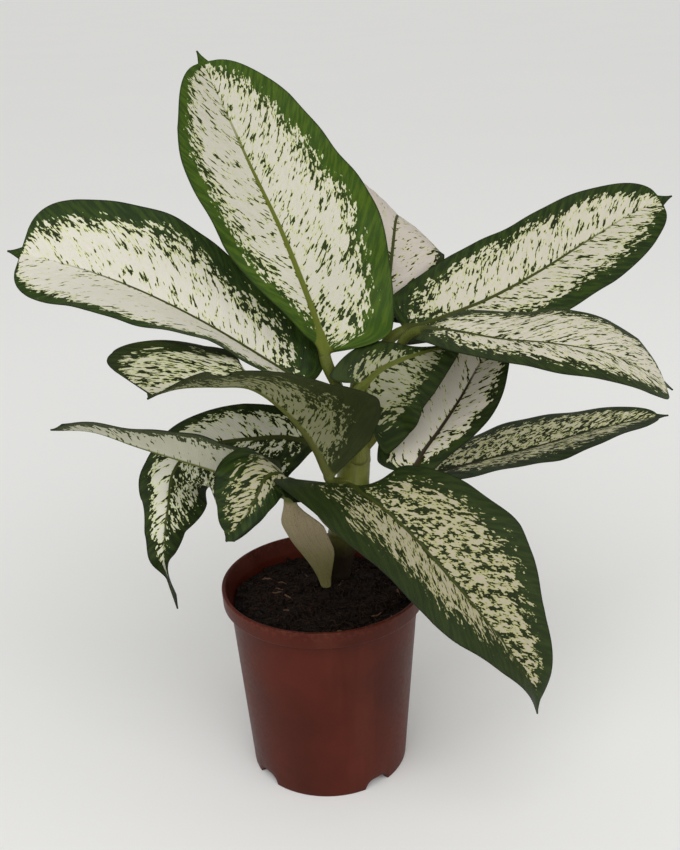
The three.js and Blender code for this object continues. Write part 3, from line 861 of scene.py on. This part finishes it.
potLook = {
    "height": 120.0,
    "rimRadius": 60.0,
    "lipHeight": 10.0,
    "bodyTopRadius": 55.5,
    "footRadius": 47.0,
    "wall": 2.0,
    "footDepth": 4.5,
    "footWidth": 4.0,
    "floorThickness": 2.5,
    "padRadius": 12.0,
    "notchCount": 4,
    "notchWidth": 17.0,
    "notchHeight": 5.5,
    "firstNotch": 37.0,
    "drainRadius": 4.0,
    "drainCircle": 26.0,
    "notchFade": 6.0,        # above a notch, the foot's wall is still drawn up with it
    "sides": 288,
    "drainSides": 40,
    "plastic": (82, 31, 19),
    "shade": (68, 25, 15),
    "scuff": (112, 58, 42),
    "gloss": 0.12,
    "bump": 0.00012,
}


def potFinish():
    look = potLook
    material, tree, shader = newMaterial("potPlastic", **{"IOR": 1.5, "Specular IOR Level": look["gloss"]})
    spot = objectPlace(tree)
    mottle = useGroup(tree, mottleEffect, {"Vector": spot, "Coarse": 22.0, "Fine": 420.0})
    x, y, z = xyz(tree, spot)
    flow = grainAt(tree, combine(tree, x, y, calc(tree, "MULTIPLY", z, 0.06)), 55.0, 3.0)
    colour = blend(tree, mottle["Coarse"], look["shade"], look["plastic"])
    colour = blend(tree, ramp(tree, flow, 0.5, 0.72, 0.0, 0.16), colour, look["scuff"])
    dust = ramp(tree, mottle["Fine"], 0.4, 0.9, 0.0, 0.35)
    dust = calc(tree, "MULTIPLY", ramp(tree, z, 0.112, 0.120), dust)
    colour = blend(tree, dust, colour, look["scuff"])
    rough = ramp(tree, mottle["Both"], 0.3, 0.7, 0.34, 0.5)
    dress(tree, shader, colour, rough, mottle["Both"], look["bump"])
    return material


def rounded(corner, before, after, radius, steps=4):
    # An arc in place of a corner of the profile.
    corner, before, after = (np.array(p, float) for p in (corner, before, after))
    start = corner + unit(before - corner) * radius
    end = corner + unit(after - corner) * radius
    s = np.linspace(0, 1, steps + 1)[:, None]
    return ((1 - s) ** 2 * start + 2 * s * (1 - s) * corner + s**2 * end).tolist()


def potProfile():
    look = potLook
    top, rim, wall = look["height"], look["rimRadius"], look["wall"]
    pad, foot, deep = look["padRadius"], look["footRadius"], look["footDepth"]
    lipBottom = top - look["lipHeight"]
    floorTop = deep + look["floorThickness"]
    floorInner = mix(foot, look["bodyTopRadius"], floorTop / lipBottom) - wall
    footInner = foot - look["footWidth"]
    # radius and height of each corner, and how far from it the rounding begins
    corners = [
        (pad, 0, 0.4), (pad, deep, 0.8), (footInner, deep, 0.8), (footInner, 0, 0.5), (foot, 0, 0.7),
        (look["bodyTopRadius"], lipBottom, 0.9), (rim - 0.5, lipBottom, 0.8), (rim, top, 1.1),
        (rim - wall, top, 0.8), (look["bodyTopRadius"] - wall + 0.6, lipBottom + 1, 1.0),
        (floorInner, floorTop, 1.5),
    ]
    path = [(0, 0)] + [corner[:2] for corner in corners] + [(0, floorTop)]
    profile = [[0.0, 0.0]]
    for i, (r, z, radius) in enumerate(corners):
        profile += rounded((r, z), path[i], path[i + 2], radius)
    return profile + [[0.0, floorTop]]


def spread(profile, longest=6.0):
    # More points on the long straight stretches.
    points = [profile[0]]
    for a, b in zip(profile, profile[1:]):
        steps = max(1, math.ceil(math.dist(a, b) / longest))
        points += [[mix(a[0], b[0], k / steps), mix(a[1], b[1], k / steps)] for k in range(1, steps + 1)]
    return np.array(points)


def notchLift(at):
    # How far the foot is cut away at an angle round the pot.
    look = potLook
    step = 2 * np.pi / look["notchCount"]
    first = math.radians(look["firstNotch"])
    side = np.abs((at - first + step / 2) % step - step / 2) * look["footRadius"]
    flat = look["notchWidth"] * 0.15
    s = np.clip((side - flat) / (look["notchWidth"] / 2 - flat), 0, 1)
    return look["notchHeight"] * (1 - s**2) ** 0.6


def potPiece():
    look = potLook
    profile = spread(potProfile())
    at = np.linspace(0, 2 * np.pi, look["sides"], endpoint=False)[None]
    r, z = profile[:, :1], profile[:, 1:]
    fadeTop = look["notchHeight"] + look["notchFade"]
    outside = (z < look["footDepth"] - 0.01) | (r >= look["footRadius"] - 1)
    foot = (r > look["footRadius"] - 2 * look["footWidth"]) & (z < fadeTop) & outside
    lift = np.where(foot, notchLift(at), 0) * np.clip(1 - z / fadeTop, 0, 1)
    points = np.stack([r * np.cos(at), r * np.sin(at), z + lift], axis=-1)
    body = np.vstack([points[1:-1].reshape(-1, 3), [0, 0, 0], [0, 0, profile[-1][1]]])
    count, ring = len(profile) - 2, look["sides"]
    low, high, last = count * ring, count * ring + 1, (count - 1) * ring
    faces = ringFaces(count, ring)
    for j in range(ring):
        k = (j + 1) % ring
        faces += [[low, k, j], [high, last + j, last + k]]
    piece = meshPiece("potShell", body, faces, potFinish())
    drillDrains(piece)
    return fit(piece, "pot", "pot")


def drillDrains(piece):
    # One modifier takes all the drain holes out of the floor.
    look = potLook
    drills = bpy.data.collections.new("drains")
    bpy.context.scene.collection.children.link(drills)
    ring = np.linspace(0, 2 * np.pi, look["drainSides"], endpoint=False)
    for i in range(look["notchCount"]):
        at = math.radians(look["firstNotch"] + (i + 0.5) * 360 / look["notchCount"])
        x = look["drainCircle"] * math.cos(at) + look["drainRadius"] * np.cos(ring)
        y = look["drainCircle"] * math.sin(at) + look["drainRadius"] * np.sin(ring)
        points = [[a, b, z] for z in (-1, 12) for a, b in zip(x, y)]
        drill = meshPiece("drill", points, tubeFaces(2, look["drainSides"]), piece.data.materials[0])
        bpy.context.scene.collection.objects.unlink(drill)
        drills.objects.link(drill)
    cut = piece.modifiers.new("drains", "BOOLEAN")
    cut.operation, cut.operand_type, cut.collection, cut.solver = "DIFFERENCE", "COLLECTION", drills, "EXACT"
    applyModifiers(piece)
    for drill in list(drills.objects):
        bpy.data.objects.remove(drill)
    bpy.data.collections.remove(drills)


def applyModifiers(piece):
    ready = piece.evaluated_get(bpy.context.evaluated_depsgraph_get())
    mesh = bpy.data.meshes.new_from_object(ready)
    piece.modifiers.clear()
    piece.data = mesh


potPiece()
print("pot made")


soilLook = {
    "level": 110.0,
    "dome": 3.0,
    "lumps": (0.8, 0.5, 0.25),       # heights of its large, small and fine unevenness
    "bottom": 7.3,
    "gap": 0.3,                      # to the pot's wall
    "rings": 90,
    "sides": 240,
    "dark": (7, 4, 2),
    "brown": (18, 10, 7),
    "straw": (74, 54, 40),
    "bump": 0.0012,
    "seed": 12,
    "crumbs": dict(count=2600, sizes=(0.4, 1.5), flat=0.7, finish="soilCrumb", colour=(25, 15, 10)),
    "chips": dict(count=260, sizes=(1.4, 3.0), flat=0.35, finish="barkChip", colour=(38, 24, 16)),
    "fibres": dict(count=620, lengths=(5, 15), thick=(0.2, 0.45), finish="soilFibre", colour=(60, 41, 30)),
    "straws": dict(count=16, lengths=(9, 17), thick=(0.4, 0.7), finish="strawBit", colour=(140, 108, 82)),
}


def soilRadius(z):
    look = potLook
    share = min(z / (look["height"] - look["lipHeight"]), 1)
    return mix(look["footRadius"], look["bodyTopRadius"], share) - look["wall"] - soilLook["gap"]


def soilHeight(x, y):
    look = soilLook
    r = np.hypot(x, y) / soilRadius(look["level"])
    large = np.sin(x * 0.31 + 1) * np.cos(y * 0.27) + np.sin(x * 0.17 - y * 0.23)
    small = np.sin(x * 1.1 + 2 * np.sin(y * 0.7)) * np.cos(y * 1.3 + np.sin(x * 0.9))
    fine = np.sin(x * 2.9 + y * 1.7) * np.sin(y * 3.1 - x * 1.3)
    uneven = sum(height * form for height, form in zip(look["lumps"], (large, small, fine)))
    return look["level"] - look["dome"] * r**2 + uneven


def soilFinish(name, light):
    look = soilLook
    material, tree, shader = newMaterial(name, **{"IOR": 1.4, "Specular IOR Level": 0.25})
    mottle = useGroup(tree, mottleEffect, {"Vector": objectPlace(tree), "Coarse": 120.0, "Fine": 900.0})
    colour = blend(tree, mottle["Both"], look["dark"], light)
    colour = blend(tree, ramp(tree, mottle["Fine"], 0.75, 1.0, 0.0, 0.5), colour, look["straw"])
    rough = ramp(tree, mottle["Coarse"], 0.0, 1.0, 0.7, 0.98)
    dress(tree, shader, colour, rough, mottle["Both"], look["bump"])
    return material


def soilBed():
    look = soilLook
    at = np.linspace(0, 2 * np.pi, look["sides"], endpoint=False)[None]
    r = np.linspace(soilRadius(look["level"]), 0.6, look["rings"])[:, None]
    x, y = r * np.cos(at), r * np.sin(at)
    top = np.stack([x, y, soilHeight(x, y)], axis=-1)
    low = soilRadius(look["bottom"])
    under = np.stack([low * np.cos(at), low * np.sin(at), look["bottom"] + 0 * at], axis=-1)
    points = np.concatenate([under, top]).reshape(-1, 3)
    faces = tubeFaces(look["rings"] + 1, look["sides"])
    return fit(meshPiece("soilBed", points, faces, soilFinish("pottingSoil", look["brown"])), "soil", "soil")


def scatterSpot(dice, limit):
    r = limit * math.sqrt(dice.random())
    at = dice.uniform(0, 2 * math.pi)
    return r * math.cos(at), r * math.sin(at)


def lump(dice, size, flat):
    # A small uneven stone-like body with eight corners.
    corners = []
    for sx in (-1, 1):
        for sy in (-1, 1):
            for sz in (-1, 1):
                wobble = [dice.uniform(0.6, 1.0) for _ in range(3)]
                corners.append(Vector((sx * wobble[0], sy * wobble[1], sz * wobble[2] * flat)) * size)
    faces = [(0, 1, 3, 2), (4, 6, 7, 5), (0, 4, 5, 1), (2, 3, 7, 6), (0, 2, 6, 4), (1, 5, 7, 3)]
    return corners, faces


def scatterLumps(name, bits, seed):
    dice = random.Random(seed)
    limit = soilRadius(soilLook["level"]) - 1.5
    points, faces = [], []
    for _ in range(bits["count"]):
        x, y = scatterSpot(dice, limit)
        size = dice.uniform(*bits["sizes"])
        corners, sides = lump(dice, size, bits["flat"])
        around = Matrix.Rotation(dice.uniform(0, 6.28), 3, "Z")
        turned = around @ Matrix.Rotation(dice.gauss(0, 0.35), 3, "X")
        stretch = dice.uniform(0.7, 1.9)
        middle = Vector((x, y, float(soilHeight(x, y)) + size * bits["flat"] * 0.35))
        start = len(points)
        points += [middle + turned @ Vector((c.x * stretch, c.y, c.z)) for c in corners]
        faces += [[start + i for i in side] for side in sides]
    piece = meshPiece(name, points, faces, soilFinish(bits["finish"], bits["colour"]))
    piece.data.polygons.foreach_set("use_smooth", [False] * len(piece.data.polygons))
    return fit(piece, "soil")


def scatterFibres(name, bits, seed, sides=5, joints=7):
    dice = random.Random(seed)
    limit = soilRadius(soilLook["level"]) - 6
    points, faces = [], []
    for _ in range(bits["count"]):
        x, y = scatterSpot(dice, limit)
        heading, bend = dice.uniform(0, 6.28), dice.gauss(0, 1.2)
        length, radius = dice.uniform(*bits["lengths"]), dice.uniform(*bits["thick"])
        hop = dice.uniform(0.2, 1.6)
        faces += tubeFaces(joints, sides, len(points), flip=True)
        for k in range(joints):
            s = k / (joints - 1)
            angle = heading + bend * (s - 0.5)
            x += math.cos(angle) * length / joints
            y += math.sin(angle) * length / joints
            inside = min(1, (limit + 4) / math.hypot(x, y))
            x, y = x * inside, y * inside
            z = float(soilHeight(x, y)) + 0.3 + hop * math.sin(math.pi * s)
            slim = radius * (1 - 0.75 * abs(2 * s - 1) ** 3)
            for j in range(sides):
                at = 2 * math.pi * j / sides
                side, rise = slim * math.cos(at), slim * math.sin(at)
                points.append([x - side * math.sin(angle), y + side * math.cos(angle), z + rise])
    return fit(meshPiece(name, points, faces, soilFinish(bits["finish"], bits["colour"])), "soil")


soilBed()
seed = soilLook["seed"]
scatterLumps("soilCrumbs", soilLook["crumbs"], seed)
scatterLumps("barkChips", soilLook["chips"], seed + 1)
scatterFibres("soilFibres", soilLook["fibres"], seed + 2)
scatterFibres("strawBits", soilLook["straws"], seed + 3)
print("soil made")


studioLook = {
    "floor": (244, 244, 242),
    "floorShade": (238, 238, 236),
    "floorReach": 30000,
    "sky": (248, 247, 246),
    "skyStrength": 0.42,
    "sun": dict(spot=(0.05, -0.8, 1.05), strength=1.55, softness=60.0),
    "leftGloss": dict(spot=(-1.3, -0.9, 1.1), size=0.8, power=5.0),
    "rightGloss": dict(spot=(1.4, -0.6, 1.0), size=0.8, power=5.0),
    "aim": (0.0, 0.0, 0.2),
}
cameraLook = {"spot": (0.013, -0.612, 0.465), "pitch": 22.0, "roll": -2.0, "lens": 50.0}


def studioFloor():
    look = studioLook
    material, tree, shader = newMaterial("paleFloor", **{"Roughness": 0.95, "Specular IOR Level": 0.0})
    tone = ramp(tree, grainAt(tree, objectPlace(tree), 2.0), 0.3, 0.7, 0.0, 0.15)
    colour = blend(tree, tone, look["floor"], look["floorShade"])
    tree.links.new(colour, shader.inputs["Base Color"])
    wide = look["floorReach"]
    corners = [[-wide, -wide, 0], [wide, -wide, 0], [wide, wide, 0], [-wide, wide, 0]]
    meshPiece("studioFloor", corners, [[0, 1, 2, 3]], material)


def studioLamp(name, kind, spot, **settings):
    lamp = bpy.data.objects.new(name, bpy.data.lights.new(name, kind))
    for key, value in settings.items():
        setattr(lamp.data, key, value)
    lamp.location = spot
    lamp.rotation_euler = (Vector(studioLook["aim"]) - Vector(spot)).to_track_quat("-Z", "Y").to_euler()
    bpy.context.scene.collection.objects.link(lamp)


def studioLamps():
    sun = studioLook["sun"]
    studioLamp("sun", "SUN", sun["spot"], energy=sun["strength"], angle=math.radians(sun["softness"]))
    for name in ("leftGloss", "rightGloss"):
        look = studioLook[name]
        studioLamp(name, "AREA", look["spot"], energy=look["power"], size=look["size"])


def studioSky():
    world = bpy.data.worlds.new("studioSky")
    world.use_nodes = True
    shade = world.node_tree.nodes["Background"]
    shade.inputs["Color"].default_value = rgb(*studioLook["sky"])
    shade.inputs["Strength"].default_value = studioLook["skyStrength"]
    bpy.context.scene.world = world


def photoCamera():
    look = cameraLook
    pitch, roll = math.radians(look["pitch"]), math.radians(look["roll"])
    ahead = Vector((0, math.cos(pitch), -math.sin(pitch)))
    level, top = Vector((1, 0, 0)), Vector((1, 0, 0)).cross(ahead)
    right = level * math.cos(roll) + top * math.sin(roll)
    up = top * math.cos(roll) - level * math.sin(roll)
    camera = bpy.data.objects.new("photoCamera", bpy.data.cameras.new("photoCamera"))
    camera.data.lens, camera.data.sensor_width = look["lens"], 36.0
    camera.data.clip_start, camera.data.clip_end = 0.01, 100.0
    turned = Matrix((right, up, -ahead)).transposed().to_4x4()
    camera.matrix_world = Matrix.Translation(look["spot"]) @ turned
    bpy.context.scene.collection.objects.link(camera)
    bpy.context.scene.camera = camera


studioFloor()
studioLamps()
studioSky()
photoCamera()
bpy.context.scene.view_settings.view_transform = "Standard"
print("studio ready")
